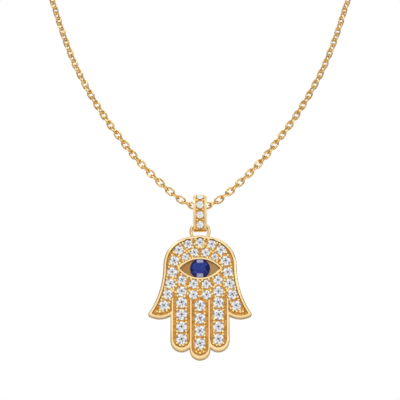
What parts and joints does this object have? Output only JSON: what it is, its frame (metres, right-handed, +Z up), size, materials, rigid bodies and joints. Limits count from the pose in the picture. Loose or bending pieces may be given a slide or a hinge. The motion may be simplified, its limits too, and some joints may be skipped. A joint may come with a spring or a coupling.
{
  "type": "hamsa pendant necklace",
  "caption": "Gold hand-shaped pendant set with white stones round a blue eye stone, hanging by a set bail on a closed cable chain.",
  "frame": {"origin": "the nape of the wearer's neck, at the middle of the clasp", "axes": "+Z up, the pendant faces -Y, +X to the viewer's right"},
  "size_m": [0.0952, 0.1211, 0.1095],
  "materials": {
    "gold_setting": "polished",
    "gold_bail": "polished",
    "gold_chain": "polished",
    "gold_clasp": "polished",
    "white_stone": "faceted, clear",
    "blue_stone": "faceted, deep blue"
  },
  "bodies": {
    "chain": {"chain_front": "gold_chain", "chain_back": "gold_chain", "clasp": "gold_clasp"},
    "bail": {"bail": "gold_bail", "bail_stone_1": "white_stone", "bail_stone_2": "white_stone", "bail_stone_3": "white_stone", "bail_stone_4": "white_stone"},
    "hand": {"hand_setting": "gold_setting", "eye_stone": "blue_stone", "palm_stone_01": "white_stone", "palm_stone_02": "white_stone", "palm_stone_03": "white_stone", "palm_stone_04": "white_stone", "palm_stone_05": "white_stone", "palm_stone_06": "white_stone", "palm_stone_07": "white_stone", "palm_stone_08": "white_stone", "palm_stone_09": "white_stone", "palm_stone_10": "white_stone", "palm_stone_11": "white_stone", "palm_stone_12": "white_stone", "palm_stone_13": "white_stone", "palm_stone_14": "white_stone", "palm_stone_15": "white_stone", "palm_stone_16": "white_stone", "palm_stone_17": "white_stone", "palm_stone_18": "white_stone", "palm_stone_19": "white_stone", "palm_stone_20": "white_stone", "palm_stone_21": "white_stone", "palm_stone_22": "white_stone", "palm_stone_23": "white_stone", "palm_stone_24": "white_stone", "palm_stone_25": "white_stone", "palm_stone_26": "white_stone", "palm_stone_27": "white_stone", "finger_stone_01": "white_stone", "finger_stone_02": "white_stone", "finger_stone_03": "white_stone", "finger_stone_04": "white_stone", "finger_stone_05": "white_stone", "finger_stone_06": "white_stone", "finger_stone_07": "white_stone", "finger_stone_08": "white_stone", "finger_stone_09": "white_stone", "finger_stone_10": "white_stone", "finger_stone_11": "white_stone", "finger_stone_12": "white_stone"}
  },
  "joints": [
    {"name": "bail_swing", "type": "hinge", "parent": "chain", "child": "bail", "pos_m": [0, -0.118, -0.085], "axis": [1, 0, 0], "range_deg": [-80, 80]},
    {"name": "hand_swing", "type": "hinge", "parent": "bail", "child": "hand", "pos_m": [0, -0.118, -0.0875], "axis": [1, 0, 0], "range_deg": [-70, 70]}
  ]
}
